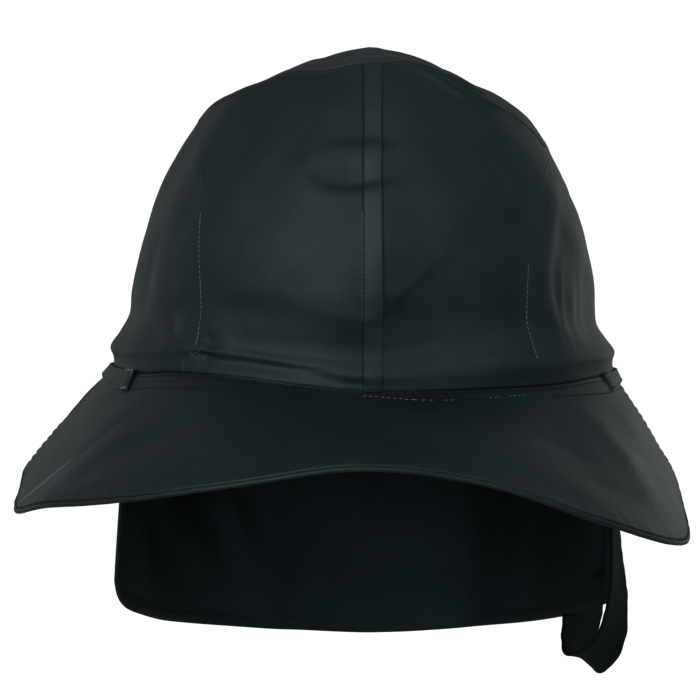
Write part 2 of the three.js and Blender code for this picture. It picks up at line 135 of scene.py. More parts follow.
# Dents (negative height) and ridges (positive) along lines over the cloth, with ; between two lines.
# A line has a row for each station: its turn, its level, the widths over which the height slopes
# away on the left and on the right of the line's way, and the height.
SOFT_FOLDS = {
    "the two dents at the front seam": """
        -13 .772 6 2.6 0, -7 .78 7 2.8 -1.2, 1 .774 7 2.8 -1.7, 5 .766 7 2.8 -1.4, 10 .756 6 2.6 0;
        -16 .69 7 2.4 0, -10 .648 8 2.5 -1.2, -4 .638 9 2.6 -2.1, 3 .638 9 2.6 -2.1,
        7.5 .652 8 2.5 -1.2, 11.5 .69 7 2.4 0
    """,
    "the bulge beside the front seam": """
        -26 .36 22 13 .7, -13 .28 22 13 1.4, -2 .27 21 13 1.8
    """,
    "the hollow that runs along above the brim": """
        -50 .06 9 3.5 0, -40 .056 9.5 3.5 -2, -30 .052 9.5 3.2 -3.2, -20 .05 9.5 3.4 -3.3,
        -12 .06 9 4 -2.9, -4 .074 9 5 -2.4, 6 .074 9 5 -2.3, 14 .076 8.5 5 -1.8, 22 .08 8 5 -.6,
        30 .08 8 5 0
    """,
    "the roll between the hollow and the brim": """
        -38 .08 3 2.6 0, -30 .078 3 2.6 .5, -20 .076 3 2.6 .6, -12 .066 3.4 2.6 .7,
        -4 .052 3.6 2.5 .9, 6 .05 3.6 2.5 .5, 16 .05 3.6 2.6 .4, 26 .05 3.6 2.6 0
    """,
    "the soft fold that runs up to the side": """
        60 .67 8 8 0, 50 .6 8 8 -.7, 36 .51 8 9 -.7, 24 .43 7 9 -.5, 18 .39 6 6 0
    """,
    "the edge where the cloth turns to the side, and small folds behind it": """
        66 .86 6 8 0, 58 .7 6 8 .8, 55 .6 5 8 1, 50 .42 4 8 .9, 50 .3 4 7 .8, 51 .2 4 6 .7,
        48 .05 4 5 0;
        58 .5 1.8 2.4 0, 55.5 .34 2.4 3 .45, 54 .17 2.4 3 .35, 53 .07 1.8 2.4 0;
        63 .42 2.2 3 0, 61 .27 2.8 3.4 .4, 58.5 .12 2.2 3 0;
        69 .52 3 4 0, 67 .34 4 4 .4, 65 .18 3 4 0
    """,
    "small dents beside the right side seam": """
        -41 .135 2 2.6 0, -36.5 .117 1.8 2.6 -1.3, -32 .108 1.6 2 0;
        -42 .076 1.5 2 0, -37.5 .064 1.5 2 -1.1, -34 .054 1.4 2 0;
        -56 .23 3 2.6 0, -50 .16 2.6 2.4 -.9, -45 .11 2.2 2 0
    """,
    "large dents at the sides and below the tip": """
        -62 .56 6 6 0, -66 .38 6 6 -.9, -68 .2 5 5 0;
        -56 .88 7 6 0, -46 .77 7 6 -.8, -36 .7 6 5 0;
        28 .86 7 6 0, 38 .77 7 6 -.8, 46 .7 6 5 0
    """,
    "the edge of the tip's seam, where it stands up a little": """
        11 .992 1.8 1.5 0, 16 .984 1.8 1.5 .7, 22 .967 1.8 1.5 .9, 28 .952 1.8 1.5 .8,
        31 .946 1.8 1.5 0;
        28 .978 1.8 1.5 0, 33 .963 1.8 1.5 .8, 40 .97 1.8 1.5 .8, 48 .982 1.8 1.5 .5,
        56 .965 1.8 1.5 0
    """,
    "the back of the crown": """
        -140 .5 9 9 -2.4, -128 .35 9 9 -2.4;
        150 .62 9 9 -2.4, 138 .42 9 9 -2.4;
        -172 .33 4 6 0, -160 .26 3 5 -1.4, -148 .17 3 5 0;
        174 .36 5 3 0, 163 .26 5 3 -1.3, 152 .18 5 3 0;
        -120 .78 5 7 0, -112 .62 4 6 -1.2, -105 .46 4 6 0;
        110 .72 6 4 0, 117 .55 6 4 -1.2, 124 .38 6 4 0;
        -106 .32 4 5 0, -97 .22 3 4 -1.1, -89 .14 3 4 0;
        92 .34 4 5 0, 100 .24 3 4 -1, 109 .14 3 4 0;
        178 .82 6 5 0, 170 .73 6 5 -.9, 162 .64 6 5 0
    """,
    "the brim": """
        -28 -.42 8 7 0, -36 -.6 8 7 -.8, -43 -.78 6 6 -.9, -49 -.88 5 5 0;
        30 -.25 9 9 0, 33 -.4 9 9 -.7, 36 -.75 9 9 -.7, 37 -.92 9 9 0;
        47 -.1 8 7 0, 49.5 -.3 8 6 .5, 50 -.5 8 6 .8, 48 -.7 9 6 .8, 46 -.88 9 6 0;
        3 -.2 14 14 0, 0 -.5 14 14 .7, -2 -.9 14 14 0;
        118 -.25 9 9 0, 126 -.95 9 9 1.2;
        146 -.35 11 11 0, 150 -.95 11 11 -1.4;
        -122 -.3 9 9 0, -130 -.95 9 9 -1.2;
        -152 -.3 11 11 0, -158 -.95 11 11 1.2;
        -36 -.9 4 4 0, -45 -.92 4 4 .6, -54 -.93 3.6 4 1, -61 -.95 3 3 .8, -65 -.97 3 3 0
    """,
}

# Folds of the same kind that are sharp along their line
CREASES = {
    "round the lower edge of the bulge": """
        -33 .43 8 8 0, -26.5 .372 8 8 .15, -20 .308 8 8 .35, -14.5 .25 7 9 .45, -9 .226 7 9 .7,
        -4 .222 7 9 .75, 2 .22 7 8 .7, 5 .22 7 7 0
    """,
    "under the bulge, to a point on the other side of the seam": """
        -36 .116 2 8 0, -27 .114 2.4 8 -1.1, -18 .112 2.5 8 -1.2, -10 .11 2.5 7 -1.1,
        -3 .112 2.5 6 -1.1, 4 .122 3 5 -1.2, 10 .138 4.4 4 -1.5, 14.5 .146 4.4 3 -1.3,
        18 .152 3 3 0
    """,
    "under the roll above the brim": """
        -14 .03 1.8 2.2 0, -8 .026 1.8 2.2 -.6, 4 .022 1.6 2 -.5, 16 .022 1.5 2 -.3,
        26 .022 1.5 2 0
    """,
    "along the front seam, where the cloth turns from one side to the other": """
        4 .7 5 6 0, 5 .56 6 7 .5, 6 .42 6 8 .8, 6.5 .3 6 8 .7, 6 .235 5 5 0
    """,
    "over the tip of the brim on the right": """
        -42 -.18 6 3 0, -45.5 -.42 6 2.6 -.4, -50 -.63 6 2.3 -.7, -56.5 -.79 6 2.2 -.9,
        -62 -.93 5 2.2 -.8, -64 -.99 5 2.2 -.5
    """,
    "the slanting fold on the other side of the seam": """
        3 .228 7 2 0, 7 .278 7 2 1, 11 .33 7 2 1.1, 16 .384 7 2.4 .8, 21 .43 7 3 0
    """,
}

# The neck flap's drop and how far its hem stands out from a straight drop
flap_hem = Table("turn drop flare", """
    98 82.4 5.6, 100 84.4 4.4, 104 86.4 1.8, 110 89.6 -1.2, 120 93.4 -3, 130 96.6 -2.4, 142 99.8 -.8,
    160 104 .5, 180 106 1, 200 104 1, 218 100.5 1, 230 97.5 1.1, 240 94.5 1.6, 249 90.5 2.8,
    254 87 4.2, 256.5 82.5 5.2, 258 76 5.6
""")

flap_folds = Table("turn_a level_a turn_b level_b width height", """
    244 .55 222 .2 9 1.1, 252 .5 236 .12 8 -.5, 220 .5 208 .22 7 .8, 150 .6 136 .2 9 .6,
    126 .5 118 .15 8 -.5, 101.6 .9 102.4 .16 4 -3, 186 .45 178 .1 8 -.6
""")

# The strap's middle line from its right end round the back to its left end, and the way its
# width points there
strap_route = Table("x y z across_x across_y across_z", """
    -85.2 4 4 0 -1 0, -86 7 -8 -.1 -1 -.3, -90 21 -22 -.1 -.8 -.6, -84.5 45 -31 0 -.3 -1,
    -65 77 -36 0 0 -1, -34 99.5 -39 0 0 -1, 0 107 -41 0 0 -1, 34 100.5 -44 0 0 -1, 63 86 -52 .1 .1 -1,
    80 70 -65 .35 .35 -.87, 85.1 61 -78 .55 .65 -.5, 83.9 54.5 -88 .66 .72 -.15,
    81.3 48 -97 .66 .73 -.12, 79.9 42 -103.8 .54 .76 -.32, 81.6 34 -106.6 .43 .82 -.38,
    86.2 24.5 -102.8 .45 .82 -.37, 90 19 -95.3 .47 .83 -.25, 91.7 15.8 -84 .4 .89 -.14,
    91.4 12.5 -71 .28 .95 0, 90.4 9.5 -57 .2 .97 0, 88 4 -32 .1 1 0, 86.2 1 -9 0 1 0,
    85.3 0 4 0 1 0
""")


# ---- the hat's surfaces


def mix(a, b, share):
    return a + (b - a) * share


def smooth_step(low, high, value):
    t = np.clip((value - low) / (high - low), 0, 1)
    return t * t * (3 - 2 * t)


def bump_at(value, centre, width):
    return np.exp(-(((value - centre) / width) ** 2))


def relief(distance, bumps):
    """Soft bumps and grooves, each a height, its place along a distance and its width."""
    return sum(height * bump_at(distance, place, width) for height, place, width in bumps)


def unit(vectors):
    return vectors / (np.linalg.norm(vectors, axis=-1, keepdims=True) + 1e-12)


def near_line(off_x, off_y, along_x, along_y):
    """The share of a line's way beside a place, and how far the place is from the line."""
    share = np.clip((off_x * along_x + off_y * along_y) / (along_x**2 + along_y**2), 0, 1)
    return share, np.hypot(off_x - share * along_x, off_y - share * along_y)


def wall_point(turn, rise):
    angle = np.radians(turn)
    half_width = np.where(turn < 0, crown_profile.at(rise, "right"), crown_profile.at(rise, "left"))
    half_depth = np.where(abs(turn) < 90, crown_profile.at(rise, "front"), crown_profile.at(rise, "back"))
    height = mix(round_hat.at(turn, "seam"), round_hat.at(turn, "tip"), rise)
    return np.stack([half_width * np.sin(angle), -half_depth * np.cos(angle), height], axis=-1)


def tip_point(turn, inward):
    puffed = np.where(turn > 0, np.sin(np.radians(turn)) ** 2, 0)
    gain = mix(tip_rise.at(inward, "level"), tip_rise.at(inward, "high"), puffed)
    return mix(wall_point(turn, np.ones_like(turn)), TIP_CENTRE, np.stack([inward, inward, gain], axis=-1))


def brim_point(turn, outward):
    angle = np.radians(turn)
    root = wall_point(turn, np.zeros_like(turn))
    width, depth = crown_profile.at(0, "left"), crown_profile.at(0, "front")
    away = unit(np.stack([root[..., 0] / width**2, root[..., 1] / depth**2, 0 * turn], axis=-1))
    arch = BRIM_ARCH * np.cos(angle) ** 2 * 4 * outward * (1 - outward)
    bow = BRIM_BOW * np.sin(angle) ** 2 * outward * (1 - outward)
    point = root + away * (round_hat.at(turn, "reach") * (outward + bow))[..., None]
    point[..., 2] = mix(root[..., 2], -round_hat.at(turn, "drop"), outward) + arch
    return point


def plain_skin(turn, level):
    turn = (turn + 180) % 360 - 180
    wall = wall_point(turn, np.clip(level, 0, 1))
    brim = brim_point(turn, np.maximum(-level, 0))
    tip = tip_point(turn, np.clip(level - 1, 0, 1))
    return np.where((level < 0)[..., None], brim, np.where((level > 1)[..., None], tip, wall))


def normal_of(face, turn, level, turn_step=0.4, level_step=0.006):
    along_turn = face(turn + turn_step, level) - face(turn - turn_step, level)
    along_level = face(turn, level + level_step) - face(turn, level - level_step)
    return unit(np.cross(along_turn, along_level))


def raised(face, turn, level, height):
    """Places on a face, moved out from it by a height."""
    return face(turn, level) + normal_of(face, turn, level) * np.asarray(height)[..., None]


def turn_from(turn, start):
    return (turn - start + 180) % 360 - 180


CREASE_EDGE = 0.7
FOLD_LINES = [
    (sharp, rows_of(line))
    for sharp, groups in ((False, SOFT_FOLDS), (True, CREASES))
    for group in groups.values()
    for line in group.split(";")
]


def fold_form(away, width, sharp):
    """A crease is sharp along its line and straight to both sides; a soft fold is a round bump."""
    if sharp:
        return np.exp((CREASE_EDGE - np.sqrt(away**2 + CREASE_EDGE**2)) / width)
    return bump_at(away, 0, width)


def fold_height(turn, level):
    total = np.zeros_like(turn)
    for sharp, line in FOLD_LINES:
        on_brim = line[0, 1] < 0
        scale = BRIM_LENGTH if on_brim else WALL_LENGTH
        spread = (4 if sharp else 3) * line[:, 2:4].max()
        weight = np.full_like(turn, 1e-30)
        height = np.zeros_like(turn)
        for start, end in zip(line, line[1:]):
            along_x, along_y = turn_from(end[0], start[0]) * TURN_LENGTH, (end[1] - start[1]) * scale
            off_x, off_y = turn_from(turn, start[0]) * TURN_LENGTH, (level - start[1]) * scale
            if abs(off_x).min() > spread + abs(along_x):
                continue
            share, away = near_line(off_x, off_y, along_x, along_y)
            leftness = (along_x * off_y - along_y * off_x) / (np.hypot(along_x, along_y) * away + 1e-9)
            width = mix(mix(start[3], end[3], share), mix(start[2], end[2], share), 0.5 + 0.5 * leftness)
            # the nearest stretch of the line counts most
            near = (away**2 + 1) ** -4
            height += near * mix(start[4], end[4], share) * fold_form(away, width, sharp)
            weight += near
        total += np.where((level < 0) == on_brim, height / weight, 0)
    return total


# Slight waves that no two places share: sines of unlike lengths, each with its own direction
wave_rng = np.random.default_rng(11)
WAVES = [
    (length, wave_rng.uniform(0, math.tau), wave_rng.uniform(0, math.tau), high)
    for length, high in ((70, 0.3), (46, 0.2), (31, 0.12), (21, 0.06), (14, 0.03))
    for _ in range(2)
]


def slight_waves(turn, level):
    across, up = turn * TURN_LENGTH, level * WALL_LENGTH
    height = np.zeros_like(turn)
    for length, direction, phase, high in WAVES:
        along = across * math.cos(direction) + up * math.sin(direction)
        beside = up * math.cos(direction) - across * math.sin(direction)
        height += high * np.sin(math.tau * along / length + phase + 0.9 * np.sin(beside / length * 1.7))
    return height * smooth_step(0, 0.1, abs(level)) * np.where(level < 0, 0.5, smooth_step(0, 0.6, 2 - level))


def skin(turn, level):
    return raised(plain_skin, turn, level, fold_height(turn, level) + slight_waves(turn, level))


FLAP_FLARE_POWER = 1.3
FLAP_WAIST = 1.6
FLAP_WAVES = 5
FLAP_WAVE_HEIGHT = 0.9


def flap_fold_height(turn, level):
    """Soft slanting folds that come down from under the crown."""
    height = np.zeros_like(turn)
    for turn_a, level_a, turn_b, level_b, width, high in flap_folds.rows:
        along_x, along_y = (turn_b - turn_a) * TURN_LENGTH, (level_b - level_a) * FLAP_LENGTH
        off_x, off_y = (turn - turn_a) * TURN_LENGTH, (level - level_a) * FLAP_LENGTH
        share, away = near_line(off_x, off_y, along_x, along_y)
        height += high * (0.4 + 0.6 * np.sin(np.pi * share)) * bump_at(away, 0, width)
    return height


def flap_face(turn, level):
    fall = 1 - level
    angle = np.radians(turn)
    flare = flap_hem.at(turn, "flare") * np.maximum(0, fall) ** FLAP_FLARE_POWER
    near_end = 2.1 * (1 - smooth_step(98, 114, turn)) + 1.5 * (1 - smooth_step(98, 110, 356 - turn))
    waist = FLAP_WAIST * np.sin(np.pi * fall) * (1 - near_end) + flap_fold_height(turn, level)
    wave = FLAP_WAVE_HEIGHT * fall * np.sin(FLAP_WAVES * 2 * angle)
    small = 0.22 * np.sin(angle * 17 + 1.6 * np.sin(fall * 3)) + 0.1 * np.sin(angle * 31 + 2.4 * fall)
    inset = CROWN_WALL + SEAM_GAP + waist - flare - wave - small * fall
    x = (crown_profile.at(0, "left") - inset) * np.sin(angle)
    y = -(crown_profile.at(0, "back") - inset) * np.cos(angle)
    return np.stack([x, y, mix(FLAP_TOP, -flap_hem.at(turn, "drop"), fall)], axis=-1)


def ripple(along, seed):
    """Uneven small waves along a seam, between about -1 and 1."""
    rng = np.random.default_rng(seed)
    total = np.zeros_like(along)
    for length in (5.1, 7.3, 11.9, 19.7):
        total += np.sin(math.tau * along / length + rng.uniform(0, math.tau))
    return total / 4


# ---- meshes


def new_object(name, data):
    made = bpy.data.objects.new(name, data)
    bpy.context.scene.collection.objects.link(made)
    return made


def new_piece(name, mesh, material, slot, *nodes):
    piece = new_object(name, mesh)
    if not mesh.materials:
        mesh.materials.append(material)
    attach(piece, "root")
    if nodes:
        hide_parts(*nodes)
    return piece


def ticks(length, step=0.9, edge=(0.12, 0.3, 0.55, 0.9, 1.3, 1.8, 2.4)):
    """Shares of a length in millimetres, close together at both ends and even between."""
    edge = np.array(edge)
    count = max(2, round((length - 2 * edge[-1]) / step))
    middle = np.linspace(edge[-1], length - edge[-1], count + 1)
    marks = np.concatenate([[0], edge[:-1], middle, length - edge[-2::-1], [length]])
    return marks / length


def rounding(distance, radius=0.9):
    """How full the cloth's thickness is at a distance from its edge, as on a rounded edge."""
    return np.sqrt(1 - (1 - np.clip(distance / radius, 0, 1)) ** 2)


def from_edge(along, length):
    """The distance from the nearer end of a length."""
    return np.minimum(along, length - along)


def quads_of(index):
    return np.stack([index[:-1, :-1], index[:-1, 1:], index[1:, 1:], index[1:, :-1]], axis=-1).reshape(-1, 4)


def lengths_along(points, axis):
    steps = np.linalg.norm(np.diff(points, axis=axis), axis=-1)
    return np.insert(np.cumsum(steps, axis=axis), 0, 0, axis=axis)


def mesh_of(name, points, faces, uv=None):
    """A smooth mesh; uv holds the place on the cloth of each of its points."""
    mesh = bpy.data.meshes.new(name)
    mesh.from_pydata(np.asarray(points).tolist(), [], faces)
    mesh.polygons.foreach_set("use_smooth", np.ones(len(mesh.polygons), bool))
    if uv is not None:
        corners = np.zeros(len(mesh.loops), np.int32)
        mesh.loops.foreach_get("vertex_index", corners)
        mesh.uv_layers.new(name="cloth").data.foreach_set("uv", uv[corners].ravel())
    mesh.update()
    return mesh


def both_faces(outer, inner):
    """One list, in metres, of the outer grid's places and the inner grid's without its border."""
    size = outer.shape[-1]
    return np.concatenate([outer.reshape(-1, size), inner[1:-1, 1:-1].reshape(-1, size)]) * MM


def shell_mesh(name, outer, inner, lengths=None):
    """A closed cloth mesh from two grids of points whose borders are the same.
    lengths are each point's millimetres across and up the cloth, unless the outer grid gives them."""
    rows, columns = outer.shape[:2]
    front = np.arange(rows * columns).reshape(rows, columns)
    back = front.copy()
    back[1:-1, 1:-1] = rows * columns + np.arange((rows - 2) * (columns - 2)).reshape(rows - 2, columns - 2)
    if lengths is None:
        across, up = lengths_along(outer, 1), lengths_along(outer, 0)
        lengths = np.stack([across - across[:, columns // 2, None], up], axis=-1)
    faces = np.concatenate([quads_of(front), quads_of(back)[:, ::-1]]).tolist()
    return mesh_of(name, both_faces(outer, inner), faces, both_faces(lengths, lengths))


def cloth_faces(face, turn, level, wall, full, over=0, under=0, pivot=SEAM_DEPTH):
    """full is 0 at the cloth's edge and 1 inside it; over and under add height to its two sides."""
    place = face(turn, level)
    normal = normal_of(face, turn, level)
    outer = place + normal * (pivot * (full - 1) + over * full)[..., None]
    inner = place - normal * (pivot + (wall - pivot) * full + under * full)[..., None]
    return outer, inner


def seam_puff(distance, along, seed):
    """The cloth beside a stitched seam: a low swelling, and puckers that fade away from it."""
    swelling = 0.07 * bump_at(distance, 1.8, 1.2)
    puckers = 0.035 * ripple(along, seed) * np.exp(-distance / 3.2)
    return swelling + puckers


# ---- shader maths


class Value:
    """A socket that can be reckoned with: each sum adds its Math node."""

    def __init__(self, surface, socket):
        self.surface, self.socket = surface, socket

    def math(self, operation, *values):
        return self.surface.node("ShaderNodeMath", {"operation": operation}, dict(enumerate(values)))

    def __add__(self, other):
        return self.math("ADD", self, other)

    __radd__ = __add__

    def __sub__(self, other):
        return self.math("SUBTRACT", self, other)

    def __rsub__(self, other):
        return self.math("SUBTRACT", other, self)

    def __mul__(self, other):
        return self.math("MULTIPLY", self, other)

    __rmul__ = __mul__

    def __abs__(self):
        return self.math("ABSOLUTE", self)

    def sine(self):
        return self.math("SINE", self)


def colour(red, green, blue):
    return (red, green, blue, 1.0)


class Surface:
    """A material under construction."""

    def __init__(self, name):
        self.material = bpy.data.materials.new(name)
        self.material.use_nodes = True
        self.tree = self.material.node_tree
        self.tree.nodes.clear()

    def node(self, kind, settings=None, inputs=None, output=0):
        node = self.tree.nodes.new(kind)
        for key, value in (settings or {}).items():
            setattr(node, key, value)
        for key, value in (inputs or {}).items():
            socket = node.inputs[key]
            if isinstance(value, Value):
                self.tree.links.new(value.socket, socket)
            else:
                socket.default_value = value
        return Value(self, node.outputs[output]) if node.outputs else None

    def cloth_place(self):
        return self.node("ShaderNodeUVMap", {"uv_map": "cloth"})

    def object_place(self):
        return self.node("ShaderNodeTexCoord", None, None, "Object")

    def axis(self, place, name):
        return self.node("ShaderNodeSeparateXYZ", None, {"Vector": place}, name)

    def noise(self, place, size, detail=3.0, roughness=0.5, warp=0.0):
        """Soft noise between 0 and 1 whose patches are about size metres wide."""
        inputs = {"Vector": place, "Scale": 1 / size, "Detail": detail}
        inputs |= {"Roughness": roughness, "Distortion": warp}
        return self.node("ShaderNodeTexNoise", None, inputs)

    def between(self, value, low, high, to_low=0.0, to_high=1.0):
        inputs = {"Value": value, "From Min": low, "From Max": high, "To Min": to_low, "To Max": to_high}
        return self.node("ShaderNodeMapRange", {"interpolation_type": "SMOOTHSTEP"}, inputs)

    def blend(self, share, one, other):
        """A colour between two, each a socket or three numbers."""
        one, other = (end if isinstance(end, Value) else colour(*end) for end in (one, other))
        return self.node("ShaderNodeMix", {"data_type": "RGBA"}, {0: share, 6: one, 7: other}, 2)

    def bump(self, height, distance, under=None):
        inputs = {"Height": height, "Distance": distance, "Strength": 1.0}
        if under is not None:
            inputs["Normal"] = under
        return self.node("ShaderNodeBump", None, inputs)

    def finish(self, **sockets):
        inputs = {key.replace("_", " "): value for key, value in sockets.items()}
        shader = self.node("ShaderNodeBsdfPrincipled", None, inputs)
        self.node("ShaderNodeOutputMaterial", None, {"Surface": shader})
        return self.material


# ---- looks: lengths in metres

# The painted highlight over the brim's sharp crease, a pale line that stands in for the glint along its crest:
# its ends (turn, level), how far to its sides it is full and where it is gone, the share over which it grows,
# its tail, and its strength at the end
GLINT_LINE_ENDS = ((-49, -0.58), (-62.6, -0.945))
GLINT_LINE_COLOUR = (0.12, 0.14, 0.145)
GLINT_LINE_SIDES = (0.0002, 0.0015)
GLINT_LINE_GROWTH = 0.6
GLINT_LINE_TAIL = 0.003
GLINT_LINE_STRENGTH = 0.8

COAT_WEAVE = 0.00075
LINING_YARNS = (0.0009, 0.0007)
WEBBING_RIB = 0.0011
WEBBING_YARN = 0.0008


def painted_glint_share(s, solid):
    """How much painted highlight lies on the brim: a pale line along its sharp crease, standing in for the
    glint on its crest, found by the plane that holds it.
    """
    turns, levels = np.array(GLINT_LINE_ENDS, float).T
    start, end = skin(turns, levels) * MM
    along = unit(end - start)
    beside = unit(np.cross(along, normal_of(skin, turns, levels).mean(axis=0)))
    x, y, z = (s.axis(solid, name) for name in "XYZ")

    def measure(direction):
        a, b, c = direction.tolist()
        return x * a + y * b + z * c - float(direction @ start)

    length = float(np.linalg.norm(end - start))
    reach = measure(along)
    line = s.between(abs(measure(beside)), *GLINT_LINE_SIDES, 1.0, 0.0)
    growing = s.between(reach, 0.0, length * GLINT_LINE_GROWTH)
    return line * growing * s.between(reach, length, length + GLINT_LINE_TAIL, GLINT_LINE_STRENGTH, 0.0)


def coated_cloth(name, dark, light, roughness, crinkle=1.0, painted_glint=False):
    """Cloth under a rubbery coat: even and satin, with a faint grain and soft crinkles, and on the brim a
    painted highlight along a crease.
    """
    s = Surface(name)
    place, solid = s.cloth_place(), s.object_place()
    patches = s.noise(solid, 0.034, 4, 0.55)
    dust = s.noise(solid, 0.0065, 3, 0.6)
    grain = s.noise(place, 0.0011, 2, 0.5)
    along, up = (s.axis(place, name) * (math.tau / COAT_WEAVE) for name in "XY")
    soft = s.noise(solid, 0.017, 3, 0.45, 0.6)
    fine = s.noise(solid, 0.0048, 2, 0.5, 0.8)
    shade = s.blend(s.between(patches * 0.7 + dust * 0.3, 0.3, 0.7), dark, light)
    # a painted highlight: the pale line along the brim's crease, standing in for the glint on its crest
    if painted_glint:
        shade = s.blend(painted_glint_share(s, solid), shade, GLINT_LINE_COLOUR)
    gloss = s.between(patches * 0.5 + grain * 0.5, 0.3, 0.7, roughness - 0.045, roughness + 0.055)
    slow = s.bump(abs(soft * 2 - 1) * 0.75 + fine * 0.25, 0.00022 * crinkle)
    quick = s.bump(grain * 0.7 + along.sine() * up.sine() * 0.12, 0.00003, slow)
    return s.finish(
        Base_Color=shade,
        Roughness=gloss,
        Normal=quick,
        Specular_IOR_Level=0.46,
        Specular_Tint=colour(0.66, 0.95, 1.0),
        Coat_Weight=0.03,
        Coat_Roughness=0.35,
    )


def flap_lining(name, dark, light):
    """The inner face of the cloth: a close matt weave with a faint slant."""
    s = Surface(name)
    place, solid = s.cloth_place(), s.object_place()
    along, up = (s.axis(place, name) * (math.tau / yarn) for name, yarn in zip("XY", LINING_YARNS))
    twill = (along + up).sine() * 0.5 + 0.5
    yarn = s.noise(place, 0.0006, 2, 0.6)
    patches = s.noise(solid, 0.03, 4, 0.55)
    soft = s.noise(solid, 0.02, 3, 0.5, 0.5)
    shade = s.blend(s.between(patches * 0.6 + yarn * 0.25 + twill * 0.15, 0.3, 0.7), dark, light)
    gloss = s.between(patches, 0.3, 0.7, 0.5, 0.62)
    slow = s.bump(abs(soft * 2 - 1), 0.00025)
    quick = s.bump(twill * 0.6 + yarn * 0.4, 0.00004, slow)
    return s.finish(Base_Color=shade, Roughness=gloss, Normal=quick, Specular_Tint=colour(0.6, 0.92, 1.0))


def webbing(name, dark, light):
    """Flat woven webbing: slanting pairs of ribs across, fine yarns and pale fluff."""
    s = Surface(name)
    place = s.cloth_place()
    along, across = (s.axis(place, name) for name in "XY")
    ribs = ((along + abs(across) * 0.9) * (math.tau / WEBBING_RIB)).sine() * 0.5 + 0.5
    yarns = (across * (math.tau / WEBBING_YARN)).sine() * 0.5 + 0.5
    fluff = s.noise(place, 0.0007, 3, 0.7)
    patches = s.noise(place, 0.012, 3, 0.5)
    tone = s.between(ribs * 0.35 + yarns * 0.15 + fluff * 0.3 + patches * 0.2, 0.25, 0.75)
    return s.finish(
        Base_Color=s.blend(tone, dark, light),
        Roughness=s.between(fluff, 0.3, 0.7, 0.76, 0.88),
        Normal=s.bump(ribs * 0.5 + yarns * 0.25 + fluff * 0.25, 0.00022),
        Specular_IOR_Level=0.3,
        Specular_Tint=colour(0.75, 0.95, 1.0),
    )


def thread(name, dark, light):
    """Twisted sewing thread."""
    s = Surface(name)
    solid = s.object_place()
    ply = s.noise(solid, 0.0006, 2, 0.6)
    patches = s.noise(solid, 0.009, 2, 0.5)
    return s.finish(
        Base_Color=s.blend(s.between(ply * 0.5 + patches * 0.5, 0.3, 0.7), dark, light),
        Roughness=s.between(ply, 0.3, 0.7, 0.42, 0.6),
        Normal=s.bump(ply, 0.00008),
        Specular_IOR_Level=0.3,
    )


crown_cloth = coated_cloth("crown_cloth", (0.0052, 0.0095, 0.0105), (0.0075, 0.0135, 0.0148), 0.52)
# the brim's cloth carries the painted highlight along its crease
brim_cloth = coated_cloth("brim_cloth", (0.0045, 0.0085, 0.0092), (0.0065, 0.0118, 0.0128), 0.49, 0.6, True)
# The strip is the crown's own cloth; its lighter colour is painted light, standing in for the strip catching
# more light than the panels beside it.
strip_cloth = coated_cloth("strip_cloth", (0.011, 0.0165, 0.0175), (0.015, 0.0222, 0.0234), 0.44, 0.4)
band_tape = coated_cloth("band_tape", (0.006, 0.0105, 0.0115), (0.009, 0.0145, 0.0155), 0.5, 0.5)
flap_cloth = flap_lining("flap_cloth", (0.0036, 0.0056, 0.006), (0.0062, 0.009, 0.0095))
strap_webbing = webbing("strap_webbing", (0.003, 0.0047, 0.0048), (0.0072, 0.0102, 0.0103))
dark_thread = thread("dark_thread", (0.004, 0.0065, 0.007), (0.011, 0.016, 0.017))
grey_thread = thread("grey_thread", (0.028, 0.037, 0.039), (0.06, 0.074, 0.077))
flap_thread = thread("flap_thread", (0.009, 0.0125, 0.013), (0.02, 0.026, 0.027))
# a near-black cord for the brim's hem groove: painted shadow, standing in for the groove's shade
groove_shadow_cord = thread("groove_shadow_cord", (0.0012, 0.002, 0.0022), (0.003, 0.0045, 0.005))
seam_grey = thread("seam_grey", (0.09, 0.115, 0.12), (0.2, 0.235, 0.24))


# ---- crown

SIDE_SEAM_TURN = {"at_brim": 39, "gain": 7, "gain_near_tip": 34}
PANEL_HEIGHT = 108
FRONT_WIDTH = 68
BACK_WIDTH = 214
OVERLAP_TURN = 0.45
OVERLAP_LEVEL = 0.0025
TIP_COLUMNS = 260
TIP_DEPTH = 64
TIP_LAST_ROWS = (0.94, 0.98)


def side_seam(rise):
    rise = np.clip(rise, 0, 1)
    s = SIDE_SEAM_TURN
    return s["at_brim"] + s["gain"] * rise + s["gain_near_tip"] * rise**5


def strip_turn(rise):
    return np.degrees(STRIP_WIDTH / crown_profile.at(np.clip(rise, 0, 1), "left"))


def grid(width, height):
    """Two arrays of shares and two of millimetres, across and up a piece of cloth."""
    across, up = np.meshgrid(ticks(width), ticks(height))
    return across, up, across * width, up * height


def crown_panel(name, turn_at, width, seed):
    across, up, right, high = grid(width, PANEL_HEIGHT)
    level = mix(-OVERLAP_LEVEL, 1 + OVERLAP_LEVEL, up)
    beside = from_edge(right, width)
    full = rounding(beside) * rounding(from_edge(high, PANEL_HEIGHT))
    over = seam_puff(beside, high + 100 * (right > width / 2), seed)
    over += seam_puff(PANEL_HEIGHT - high, right, seed + 1)
    # the cloth rolls outward just over the brim's seam
    over += 0.3 * bump_at(high, 0.9, 1.6) + 0.04 * ripple(right, seed + 2) * np.exp(-high / 2.5)
    shell = cloth_faces(skin, turn_at(across, level), level, CROWN_WALL, full, over)
    return new_piece(name + "_cloth", shell_mesh(name, *shell), crown_cloth, "crown_cloth", name)


def front_turn(across, level):
    return mix(-OVERLAP_TURN, side_seam(level) + OVERLAP_TURN, across)


def back_turn(across, level):
    return mix(side_seam(level) - OVERLAP_TURN, 180 + OVERLAP_TURN, across)


def mirrored(turn_at):
    return lambda across, level: -turn_at(1 - across, level)


